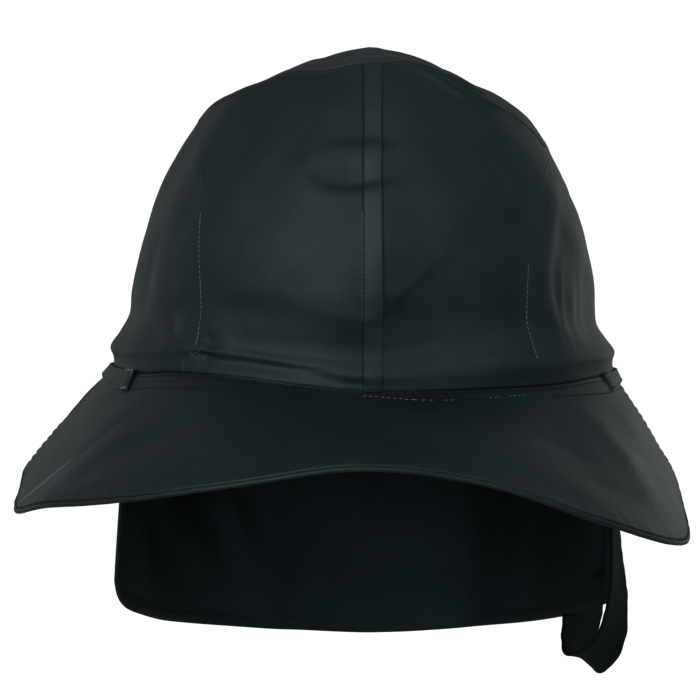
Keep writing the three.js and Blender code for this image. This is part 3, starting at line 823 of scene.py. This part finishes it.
crown_panel("crown_front_left", front_turn, FRONT_WIDTH, 20)
crown_panel("crown_front_right", mirrored(front_turn), FRONT_WIDTH, 30)
crown_panel("crown_back_left", back_turn, BACK_WIDTH, 40)
crown_panel("crown_back_right", mirrored(back_turn), BACK_WIDTH, 50)


def crown_tip():
    """The tip is a disc: its grid goes round, and every row but the first lies further in."""
    shares = ticks(TIP_DEPTH)
    shares = np.append(shares[shares < TIP_LAST_ROWS[0]], TIP_LAST_ROWS[1])
    around, inward = np.meshgrid(np.linspace(-180, 180, TIP_COLUMNS + 1)[:-1], shares)
    level = 1 - OVERLAP_LEVEL + inward * (1 + OVERLAP_LEVEL)
    distance = inward * TIP_DEPTH
    over = seam_puff(distance, np.radians(around) * TIP_DEPTH, 60)
    outer, inner = cloth_faces(skin, around, level, CROWN_WALL, rounding(distance), over)
    top = outer[-1].mean(axis=0) + [0, 0, 0.05]
    points = np.concatenate([outer.reshape(-1, 3), inner[1:].reshape(-1, 3), [top, top - [0, 0, CROWN_WALL]]])
    front = np.arange(outer[..., 0].size).reshape(-1, TIP_COLUMNS)
    back = front.copy()
    back[1:] += front[-1, 0]
    sides = [(np.append(index, index[:, :1], axis=1), step) for index, step in ((front, 1), (back, -1))]
    faces = [face for rings, step in sides for face in quads_of(rings)[:, ::step].tolist()]
    for (rings, step), centre in zip(sides, (len(points) - 2, len(points) - 1)):
        last = rings[-1].tolist()
        faces += [[a, b, centre][::step] for a, b in zip(last, last[1:])]
    mesh = mesh_of("crown_tip", points * MM, faces, points[:, :2] * MM)
    return new_piece("crown_tip_cloth", mesh, crown_cloth, "crown_cloth", "crown_tip")


crown_tip()

STRIP_LEVELS = (-0.004, 0.999)
STRIP_START = -0.25
STRIP_OFFSET = 0.1


def seam_strip():
    """The lapped edge of a front panel: a raised strip beside the centre seam."""
    across, up, right, high = grid(STRIP_WIDTH, PANEL_HEIGHT)
    level = mix(*STRIP_LEVELS, up)
    turn = mix(STRIP_START, strip_turn(level), across)
    beside = from_edge(right, STRIP_WIDTH)
    full = rounding(beside, 0.6) * rounding(from_edge(high, PANEL_HEIGHT), 0.4)
    crease = -0.12 * bump_at(beside, 1.0, 0.3) + 0.03 * ripple(high, 70)
    # the far edge stands up, less so from the middle of the crown on
    standing = smooth_step(0.18, 0.24, level) * (1 - smooth_step(0.84, 0.95, level))
    lean = across * standing * (0.9 - 0.4 * smooth_step(0.4, 0.6, level))
    outer = raised(skin, turn, level, STRIP_OFFSET + (STRIP_WALL + crease + lean) * full)
    inner = raised(skin, turn, level, STRIP_OFFSET - 0.35 * full)
    mesh = shell_mesh("front_seam_strip", outer, inner)
    return new_piece("front_seam_strip_cloth", mesh, strip_cloth, "crown_cloth", "front_seam_strip")


seam_strip()


# ---- brim

# Distances of the mesh's rows from the hem and from the seam with the crown
HEM_MARKS = rows_of("""
    0 .1 .25 .45 .7 1 1.25 1.45 1.65 1.85 2.05 2.3 2.6 2.9 3.2 3.45 3.7 3.95 4.2 4.7 5.4 6.2
""")[0]
BASE_MARKS = rows_of("0 .1 .25 .45 .7 1 1.3 1.6 1.9 2.2 2.6 3.1 3.7 4.3 4.8 5.2 5.6 6 6.6 7.4")[0]
HEM_STITCH = 3.7
HEM_GROOVE = 1.9
HEM_RELIEF = ((0.26, 0.85, 0.6), (-0.72, HEM_GROOVE, 0.36), (0.12, 2.9, 0.6))
BASE_STITCHES = (1.9, 4.8)
BASE_RELIEF = ((-0.16, BASE_STITCHES[0], 0.4), (-0.14, BASE_STITCHES[1], 0.4))


def brim_width(turn):
    """The brim's width in millimetres from its seam to its hem."""
    places = [plain_skin(turn, np.full_like(turn, -share)) for share in np.linspace(0.0001, 1, 7)]
    return sum(np.linalg.norm(b - a, axis=-1) for a, b in zip(places, places[1:]))


def brim_piece(name, from_turn, to_turn, length, seed):
    across = ticks(length, 1.2)
    turn_row = mix(from_turn - OVERLAP_TURN, to_turn + OVERLAP_TURN, across)
    width_row = brim_width(turn_row)
    middle = np.linspace(0, 1, 46)[1:-1]
    rows = [HEM_MARKS[:, None] + 0 * width_row, mix(HEM_MARKS[-1], width_row - BASE_MARKS[-1], middle[:, None])]
    from_hem = np.concatenate(rows + [width_row - BASE_MARKS[::-1, None]])
    turn, width, along = (row + 0 * from_hem for row in (turn_row, width_row, across * length))
    level = -1 + from_hem / width * (1 + OVERLAP_LEVEL)
    from_base = width - from_hem
    beside = from_edge(along, length)
    full = rounding(from_hem, 1.1) * rounding(from_base) * rounding(beside)
    over = relief(from_hem, HEM_RELIEF) + relief(from_base, BASE_RELIEF)
    over += 0.16 * ripple(along, seed) * bump_at(from_hem, 3, 4.5)
    over += 0.3 * (1 - smooth_step(5.0, 6.0, from_base))
    over += 0.1 * ripple(along, seed + 1) * np.exp(-from_base / 5)
    over += seam_puff(beside, from_hem, seed + 2)
    # the turned-in hem, its stitch, and the thinning towards the edge
    under = 0.25 * (1 - smooth_step(8.5, 9.3, from_hem)) - 0.2 * bump_at(from_hem, HEM_STITCH, 0.5)
    under -= 0.85 * (1 - smooth_step(1.5, 6, from_hem))
    under += 0.12 * ripple(along, seed + 3) * np.exp(-from_hem / 6)
    shell = cloth_faces(skin, turn, level, BRIM_WALL, full, over, under)
    return new_piece(name + "_cloth", shell_mesh(name, *shell), brim_cloth, "brim_cloth", name)


brim_piece("brim_front", -BRIM_SEAM, BRIM_SEAM, 400, 80)
brim_piece("brim_back", BRIM_SEAM, 360 - BRIM_SEAM, 410, 90)


# ---- neck flap

FLAP_GRID = (265, 104)
FLAP_STITCH = 4.0
FLAP_SIDE_HEM = 4.0
FLAP_HEM = 4.7
FLAP_HEM_EDGE = 0.5
FLAP_ENDS = flap_hem.rows[[0, -1], 0]


def neck_flap():
    across, up, along, _ = grid(*FLAP_GRID)
    turn = mix(*FLAP_ENDS, across)
    drop = flap_hem.at(turn, "drop") + FLAP_TOP
    from_hem = up * drop
    beside = from_edge(along, FLAP_GRID[0])
    full = rounding(from_edge(from_hem, drop), 0.8) * rounding(beside, 0.8)
    hem = 1 - smooth_step(FLAP_HEM, FLAP_HEM + FLAP_HEM_EDGE, from_hem)
    side_hem = 1 - smooth_step(FLAP_SIDE_HEM, FLAP_SIDE_HEM + FLAP_HEM_EDGE, beside)
    stitch = -0.2 * bump_at(from_hem, FLAP_STITCH, 0.45)
    under = 0.25 * np.maximum(hem, side_hem) + (stitch + 0.25 * ripple(along, 100) * np.exp(-from_hem / 7))
    over = stitch + 0.2 * ripple(along, 101) * np.exp(-from_hem / 6)
    shell = cloth_faces(flap_face, turn, up, FLAP_WALL, full, over, under, FLAP_WALL / 2)
    flap = new_piece("neck_flap_cloth", shell_mesh("neck_flap", *shell), flap_cloth, "flap_cloth", "neck_flap")
    return flap


neck_flap()


# ---- size band

BAND_GRID = (420, 8.6)


def band_face(turn, level):
    near_end = 1 - smooth_step(0, 30, np.minimum(turn, 360 - turn) - BAND_START + 5)
    below, rise = (np.where(turn < 180, *ends) for ends in (BAND_BELOW_AT_ENDS, BAND_RISE_AT_ENDS))
    low = -mix(BAND_BELOW_SEAM, below, near_end) / BRIM_LENGTH
    high = np.full_like(turn, BAND_ABOVE_SEAM / WALL_LENGTH)
    rise = mix(SEAM_GAP + BAND_WALL, rise, near_end)
    return mix(raised(skin, turn, low, rise), raised(skin, turn, high, rise), level[..., None])


def band_end(level, side):
    """How far from the front, in degrees, the band is cut: slanting on the right, further back on the left."""
    return BAND_START + (mix(4, 5, level) if side > 0 else -mix(6.5, 1.5, level))


def size_band():
    across, up, along, high = grid(*BAND_GRID)
    turn = mix(band_end(up, 1), 360 - band_end(up, -1), across)
    beside, edge = from_edge(along, BAND_GRID[0]), from_edge(high, BAND_GRID[1])
    full = rounding(edge, 0.6) * rounding(beside, 0.6)
    over = 0.15 * bump_at(edge, 0.7, 0.45) + 0.08 * ripple(along, 110) + 0.15 * (1 - smooth_step(6, 7, beside))
    shell = cloth_faces(band_face, turn, up, BAND_WALL, full, over, 0, BAND_WALL / 2)
    return new_piece("size_band_tape", shell_mesh("size_band", *shell), band_tape, "band_tape", "size_band")


size_band()


# ---- chin strap

STRAP_STEPS = 420
STRAP_EDGE_MARKS = (0.1, 0.25, 0.45, 0.7, 1.1)


def smooth_path(points, share):
    """Points on the centripetal curve through the given ones, at shares of the way along it."""
    knots = np.concatenate([[2 * points[0] - points[1]], points, [2 * points[-1] - points[-2]]])
    spans = len(points) - 1
    where = np.clip(share * spans, 0, spans - 1e-9)
    index = where.astype(int)
    made = []
    for s, start in zip(where - index, index):
        p = knots[start : start + 4]
        before, own, after = (max(np.linalg.norm(b - a) ** 0.5, 1e-4) for a, b in zip(p, p[1:]))
        slope_in = (p[1] - p[0]) / before - (p[2] - p[0]) / (before + own) + (p[2] - p[1]) / own
        slope_out = (p[2] - p[1]) / own - (p[3] - p[1]) / (own + after) + (p[3] - p[2]) / after
        made.append(
            (2 * s**3 - 3 * s**2 + 1) * p[1]
            + (s**3 - 2 * s**2 + s) * (slope_in * own)
            + (3 * s**2 - 2 * s**3) * p[2]
            + (s**3 - s**2) * (slope_out * own)
        )
    return np.array(made)


def chin_strap():
    """Flat webbing, a little cupped. Its weave is drawn along it and across from its middle line."""
    share = np.linspace(0, 1, STRAP_STEPS + 1)
    centre = smooth_path(strap_route.rows[:, :3], share)
    across = smooth_path(unit(strap_route.rows[:, 3:]), share)
    tangent = unit(np.gradient(centre, axis=0))
    across = unit(across - tangent * (across * tangent).sum(axis=1, keepdims=True))
    normal = np.cross(across, tangent)
    half_width = STRAP_WIDTH / 2
    marks = ticks(STRAP_WIDTH, 1.3, STRAP_EDGE_MARKS) * STRAP_WIDTH - half_width
    along = lengths_along(centre, 0)
    edge = half_width - abs(marks)
    full = rounding(edge, 0.65)[:, None] * rounding(from_edge(along, along[-1]), 0.5)
    cupped = 0.35 * (marks / half_width) ** 2
    uneven = 0.18 * ripple(along, 120) * (abs(marks) / half_width)[:, None]
    middle = centre + across * marks[:, None, None] + normal * (cupped[:, None] + uneven)[..., None]
    selvedge = 0.12 * bump_at(edge, 0.9, 0.5)[:, None]
    half = normal * ((STRAP_WALL / 2 + selvedge) * full)[..., None]
    mesh = shell_mesh("chin_strap", middle + half, middle - half, np.stack(np.meshgrid(along, marks), axis=-1))
    return new_piece("chin_strap_webbing", mesh, strap_webbing, "strap_webbing", "chin_strap")


chin_strap()


# ---- stitches


STITCH_SOCKETS = {
    "Lines": "Geometry", "Pitch": "Float", "Stitch length": "Float", "Thread width": "Float",
    "Thread": "Material", "Stitches": "Geometry",
}
STITCH_NODES = {
    "given": "NodeGroupInput",
    "result": "NodeGroupOutput",
    "curve": "GeometryNodeMeshToCurve",
    "spaced": "GeometryNodeResampleCurve",
    "ball": "GeometryNodeMeshUVSphere",
    "size": "ShaderNodeCombineXYZ",
    "tangent": "GeometryNodeInputTangent",
    "turned": "FunctionNodeAlignRotationToVector",
    "sewn": "GeometryNodeInstanceOnPoints",
    "solid": "GeometryNodeRealizeInstances",
    "smooth": "GeometryNodeSetShadeSmooth",
    "coloured": "GeometryNodeSetMaterial",
}
# Each link: a node, its output, the next node and its input
STITCH_LINKS = """given.Lines.curve.Mesh, curve.Curve.spaced.Curve, given.Pitch.spaced.Length,
    given.Thread_width.size.X, given.Thread_width.size.Y, given.Stitch_length.size.Z,
    tangent.Tangent.turned.Vector, spaced.Curve.sewn.Points, ball.Mesh.sewn.Instance,
    turned.Rotation.sewn.Rotation, size.Vector.sewn.Scale, sewn.Instances.solid.Geometry,
    solid.Geometry.smooth.Geometry, smooth.Geometry.coloured.Geometry,
    given.Thread.coloured.Material, coloured.Geometry.result.Stitches"""


def stitch_tree():
    """Lays a rounded stitch every pitch along each line of its input, and gives it the thread."""
    tree = bpy.data.node_groups.new("stitch_rows", "GeometryNodeTree")
    for label, kind in STITCH_SOCKETS.items():
        way = "OUTPUT" if label == "Stitches" else "INPUT"
        tree.interface.new_socket(label, in_out=way, socket_type="NodeSocket" + kind)
    node = {name: tree.nodes.new(kind) for name, kind in STITCH_NODES.items()}
    node["spaced"].mode = "LENGTH"
    node["turned"].axis = "Z"
    for label, value in (("Segments", 6), ("Rings", 5), ("Radius", 0.5)):
        node["ball"].inputs[label].default_value = value
    for link in STITCH_LINKS.split(","):
        source, output, target, label = link.replace("_", " ").split(".")
        tree.links.new(node[source.strip()].outputs[output], node[target].inputs[label])
    return tree


STITCH_TREE = stitch_tree()


def sewn_piece(name, lines, thread, slot, pitch, length, width):
    """One piece with a row of stitches along each line."""
    ends = np.cumsum([len(line) for line in lines]).tolist()
    mesh = bpy.data.meshes.new(name + "_lines")
    edges = [(i, i + 1) for i in range(ends[-1]) if i + 1 not in ends]
    mesh.from_pydata((np.concatenate(lines) * MM).tolist(), edges, [])
    source = new_object(name + "_lines", mesh)
    modifier = source.modifiers.new("stitches", "NODES")
    modifier.node_group = STITCH_TREE
    given = {"Thread": thread, "Pitch": pitch * MM, "Stitch length": length * MM, "Thread width": width * MM}
    for item in STITCH_TREE.interface.items_tree:
        if item.name in given:
            modifier[item.identifier] = given[item.name]
    depsgraph = bpy.context.evaluated_depsgraph_get()
    made = bpy.data.meshes.new_from_object(source.evaluated_get(depsgraph))
    made.name = name
    source.modifiers.clear()
    bpy.data.objects.remove(source)
    return new_piece(name, made, thread, slot)


def seam_line(turns, levels, height, count=160):
    """A line on the cloth through the given places, a little above it."""
    share = np.linspace(0, 1, count)
    at = np.linspace(0, 1, len(turns))
    return raised(skin, np.interp(share, at, turns), np.interp(share, at, levels), height)


def level_line(turn_at, low, high, height, count=120):
    """A line up the crown, at one turn or at turns that follow the level."""
    level = np.linspace(low, high, count)
    turn = turn_at(level) if callable(turn_at) else np.full_like(level, turn_at)
    return raised(skin, turn, level, height)


def hem_line(from_turn, to_turn, from_hem, height, count):
    turn = np.linspace(from_turn, to_turn, count)
    return raised(skin, turn, -1 + from_hem / brim_width(turn), height)


def lap_line(turns, distances, height, count=120):
    """A line on the brim that keeps the given distances from the crown's seam."""
    turn = np.linspace(turns[0], turns[-1], count)
    return raised(skin, turn, -np.interp(turn, turns, distances) / brim_width(turn), height)


def beside_seam(side, offset):
    """A turn that keeps offset millimetres from a side seam."""
    return lambda level: side * (side_seam(level) + np.degrees(offset / CROWN_RADIUS))


def strip_far(level):
    return strip_turn(level) - np.degrees(0.9 / CROWN_RADIUS)


# Where the broken rows on the brim run: distances from the crown's seam, by turn
LAP_TURNS, LAP_DISTANCES = rows_of("0 4 8 12 18 27 38 50 55, 6 7.5 10 10.5 9 5.8 4.4 3.8 3.4")


def lap_beads(from_turn, to_turn):
    turns = np.linspace(from_turn, to_turn, 8)
    return lap_line(turns, np.interp(turns, LAP_TURNS, LAP_DISTANCES), 0.25, 40)


def curled_end():
    """A loose, curling end of the thread on the brim."""
    turn = np.linspace(38, 54.5, 120)
    curl = np.interp(turn, LAP_TURNS, LAP_DISTANCES) - 0.3
    curl = curl + 0.45 * np.sin(turn * 3.1) + 0.35 * np.sin(turn * 7.7)
    return raised(skin, turn + 0.35 * np.cos(turn * 3.9), -curl / brim_width(turn), 0.25)


def flap_line(from_hem, rise):
    """A line along the flap's hem, at a height over its outer face."""
    turn = np.linspace(FLAP_ENDS[0] + 1.6, FLAP_ENDS[1] - 1.6, 360)
    return raised(flap_face, turn, from_hem / (flap_hem.at(turn, "drop") + FLAP_TOP), rise)


def flap_side_line(edge_turn):
    level = np.linspace(0.05, 0.97, 120)
    return raised(flap_face, np.full_like(level, edge_turn), level, -(FLAP_WALL + 0.3))


def tape_row(side, distances, levels, distance_sway=0.0, level_sway=0.0):
    """A row near the band's cut end, between two distances from it and two levels, or a zigzag."""
    steps = 40
    zigzag = np.where(np.arange(steps) % 2, 1, -1)
    distance = np.linspace(*distances, steps) + distance_sway * zigzag
    level = np.linspace(*levels, steps) + level_sway * zigzag
    turn = band_end(level, side) + np.degrees(distance / BAND_RADIUS)
    return raised(band_face, turn if side > 0 else 360 - turn, level, 0.35)


SEAM_NEAR = np.degrees(-0.75 / CROWN_RADIUS)
STRIP_NEAR = np.degrees(0.9 / CROWN_RADIUS)
STRIP_SPANS = ((0.01, 0.2), (0.76, 0.97))
strip_rows = [level_line(SEAM_NEAR, *span, 0.1) for span in ((0.01, 0.21), (0.55, 0.97))]
strip_rows += [level_line(at, *span, 0.8) for at in (strip_far, STRIP_NEAR) for span in STRIP_SPANS]
side_spans = ((-1, 0.11, 0.55), (1, 0.1, 0.42))
side_rows = [level_line(beside_seam(side, 0.5), low, high, 0.12) for side, low, high in side_spans]
seam_rows = [seam_line(span, (0.984, 0.984), 0.1, 300) for span in ((-179, -44), (64, 179))]
seam_rows += [level_line(turn, 0.02, 0.97, 0.1) for turn in (-179, 179)]
tip_rows = [
    seam_line((-44, -30, -4), (0.985, 0.99, 0.992), 0.12),
    seam_line(*rows_of("8 14 22 28 36 47 58 64, .992 .988 .97 .955 .957 .985 .97 .93"), 0.14, 200),
    seam_line((24, 30, 36, 44), (0.978, 0.968, 0.966, 0.975), 0.14, 60),
]
base_rows = [lap_line((-58, 62), (BASE_STITCHES[0],) * 2, 0.25, 300)]
base_rows += [lap_line((-58, 28), (BASE_STITCHES[1],) * 2, 0.24, 260)]
temple_rows = [seam_line((turn, turn), (-0.16, -0.95), 0.15) for turn in (-92.1, -89.9, 89.9, 92.1)]
hem_spans = ((-BRIM_SEAM + 1, BRIM_SEAM - 1), (BRIM_SEAM + 1, 360 - BRIM_SEAM - 1))
# an unbroken line in the hem's groove, laid there as painted shadow
groove_shadow_rows = [hem_line(*span, HEM_GROOVE, -0.3, 420) for span in hem_spans]
lap_rows = [lap_line((42, 55, 64, 80), (5.2, 6.5, 6.9, 6), 0.12)]
lap_rows += [lap_line((-57, -44, -35), (8.2, 8.4, 8.2), 0.05)]
bead_rows = [lap_beads(*span) for span in ((0, 9), (9.5, 12.5), (15.5, 17), (26, 27.5), (31, 34.5))]
end_places = (
    ((-41.5, -40.5), (0.069, 0.051)), ((-41.4, -40.5), (0.053, 0.068)),
    ((-40, -38.4), (0.064, 0.095)), ((-43.6, -43.4), (0.034, 0.006)),
)
end_rows = [seam_line(turns, levels, 0.2, 12) for turns, levels in end_places]
flap_rows = [flap_line(FLAP_STITCH, -(FLAP_WALL + 0.22)), flap_line(FLAP_STITCH, 0.0)]
flap_rows += [flap_side_line(FLAP_ENDS[0] + 1.5), flap_side_line(FLAP_ENDS[1] - 1.5)]
tack_rows = [
    tape_row(-1, (0.4, 7.0), (0.94, 0.94), 0.0, 0.03),
    tape_row(-1, (0.3, 4.2), (0.07, 0.07), 0.0, 0.04),
    tape_row(1, (3.4, 8.0), (0.94, 0.94), 0.0, 0.03),
    tape_row(-1, (0.6, 0.6), (0.7, 0.95), 0.15),
]
band_rows = [tape_row(side, (1.6, 1.6), (0.08, 0.92)) for side in (-1, 1)]

# Each piece of stitching, and the near-black cord painted as shadow in the hem's groove: its rows, its thread,
# and the pitch, length and width of a stitch
for slot, name, rows, yarn, *sizes in (
    ("crown_cloth", "front_seam_thread", [level_line(SEAM_NEAR, 0.22, 0.54, 0.05)], seam_grey, 1.5, 1.3, 0.26),
    ("crown_cloth", "strip_edge_thread", [level_line(strip_far, 0.21, 0.75, 1.4)], grey_thread, 1.5, 1.4, 0.24),
    ("crown_cloth", "strip_stitches", strip_rows, dark_thread, 1.7, 1.35, 0.3),
    ("crown_cloth", "side_seam_thread", side_rows, seam_grey, 1.7, 1.5, 0.34),
    ("crown_cloth", "crown_seam_stitches", seam_rows, dark_thread, 1.7, 1.35, 0.3),
    ("crown_cloth", "tip_seam_thread", tip_rows, grey_thread, 1.2, 1.35, 0.34),
    ("brim_cloth", "brim_stitches", base_rows + temple_rows, dark_thread, 2.8, 2.1, 0.42),
    # painted shadow: overlapping stitches that make one near-black line in the hem's groove
    ("brim_cloth", "hem_stitches", groove_shadow_rows, groove_shadow_cord, 1.3, 1.5, 0.46),
    ("brim_cloth", "lap_thread", lap_rows, dark_thread, 1.2, 1.3, 0.34),
    ("brim_cloth", "brim_front_thread", bead_rows, seam_grey, 1.9, 1.2, 0.32),
    ("brim_cloth", "hem_bead_thread", [hem_line(-6, 34, 3.3, 0.08, 160)], grey_thread, 2.3, 1.1, 0.26),
    ("crown_cloth", "thread_ends", end_rows, seam_grey, 0.5, 0.7, 0.17),
    ("brim_cloth", "brim_thread_ends", [curled_end()], grey_thread, 0.5, 0.7, 0.2),
    ("flap_cloth", "flap_stitches", flap_rows, flap_thread, 2.9, 2.0, 0.4),
    ("band_tape", "band_end_thread", tack_rows, seam_grey, 0.6, 0.7, 0.3),
    ("band_tape", "band_stitches", band_rows, dark_thread, 1.7, 1.35, 0.3),
):
    sewn_piece(name, rows, yarn, slot, *sizes)


# ---- camera, floor and lights: in metres and watts

CAMERA_PLACE = (-0.0048, -1.2, 0.068)
CAMERA_AIM = (-0.0048, 0.0, 0.0091)
CAMERA_LENS = 172.8
FLOOR_HEIGHT = -0.15
STUDIO_HALF = 3.0
STUDIO_BEND = 0.8
STUDIO_BACK = 1.6


def aimed(obj, place, aim):
    obj.location = place
    obj.rotation_euler = (Vector(aim) - Vector(place)).to_track_quat("-Z", "Y").to_euler()


camera_data = bpy.data.cameras.new("camera")
camera_data.lens = CAMERA_LENS
camera_data.sensor_width = 36
camera_data.clip_end = 20
camera = new_object("camera", camera_data)
aimed(camera, CAMERA_PLACE, CAMERA_AIM)
bpy.context.scene.camera = camera


def studio():
    """A pale floor that curves up into a wall behind the hat."""
    bend = np.linspace(0, math.pi / 2, 25)
    back = STUDIO_BACK + STUDIO_BEND * np.array([*np.sin(bend), 1])
    high = FLOOR_HEIGHT + STUDIO_BEND * (1 - np.cos(bend))
    profile = zip([-STUDIO_HALF, *back], [FLOOR_HEIGHT, *high, STUDIO_HALF])
    points = [(x, y, z) for y, z in profile for x in (-STUDIO_HALF, STUDIO_HALF)]
    faces = [(i, i + 1, i + 3, i + 2) for i in range(0, len(points) - 2, 2)]
    mesh = mesh_of("studio", points, faces)
    s = Surface("studio_paint")
    tone = s.blend(s.noise(s.object_place(), 0.4, 2), (0.86, 0.86, 0.86), (0.88, 0.88, 0.88))
    glow = {"Emission_Color": colour(1, 1, 1), "Emission_Strength": 0.85}
    mesh.materials.append(s.finish(Base_Color=tone, Roughness=0.9, Specular_IOR_Level=0.1, **glow))
    floor = new_object("studio", mesh)
    floor.visible_diffuse = floor.visible_glossy = False


studio()

# Soft lights: place, aim, width, height and power
for name, place, aim, width, height, watts in (
    ("key_softbox", (-0.85, -1.45, 0.68), (0, 0, 0.02), 2.0, 1.4, 12.5),
    ("left_softbox", (-1.45, -0.45, 0.4), (0, 0, 0.05), 1.1, 1.0, 0.9),
    ("fill_softbox", (1.15, -0.95, 0.95), (0, 0, 0.05), 1.2, 0.8, 3.0),
    ("low_softbox", (1.1, -1.2, -0.1), (0, 0, -0.06), 1.0, 0.22, 1.1),
    ("top_softbox", (0.15, -0.8, 1.35), (0, 0, 0.05), 1.2, 0.8, 1.2),
    ("back_left_panel", (-1.05, 1.15, 0.2), (0, 0, 0.0), 1.0, 0.8, 0.5),
    ("back_right_panel", (1.0, 1.2, 0.2), (0, 0, 0.0), 1.0, 0.8, 1.0),
):
    lamp = bpy.data.lights.new(name, "AREA")
    lamp.shape = "RECTANGLE"
    lamp.size, lamp.size_y, lamp.energy = width, height, watts
    aimed(new_object(name, lamp), place, aim)

world = bpy.data.worlds.new("studio_air")
bpy.context.scene.world = world
world.use_nodes = True
air = world.node_tree.nodes["Background"].inputs
air["Color"].default_value = colour(0.88, 0.98, 1.0)
air["Strength"].default_value = 0.17
bpy.context.scene.view_settings.view_transform = "Standard"
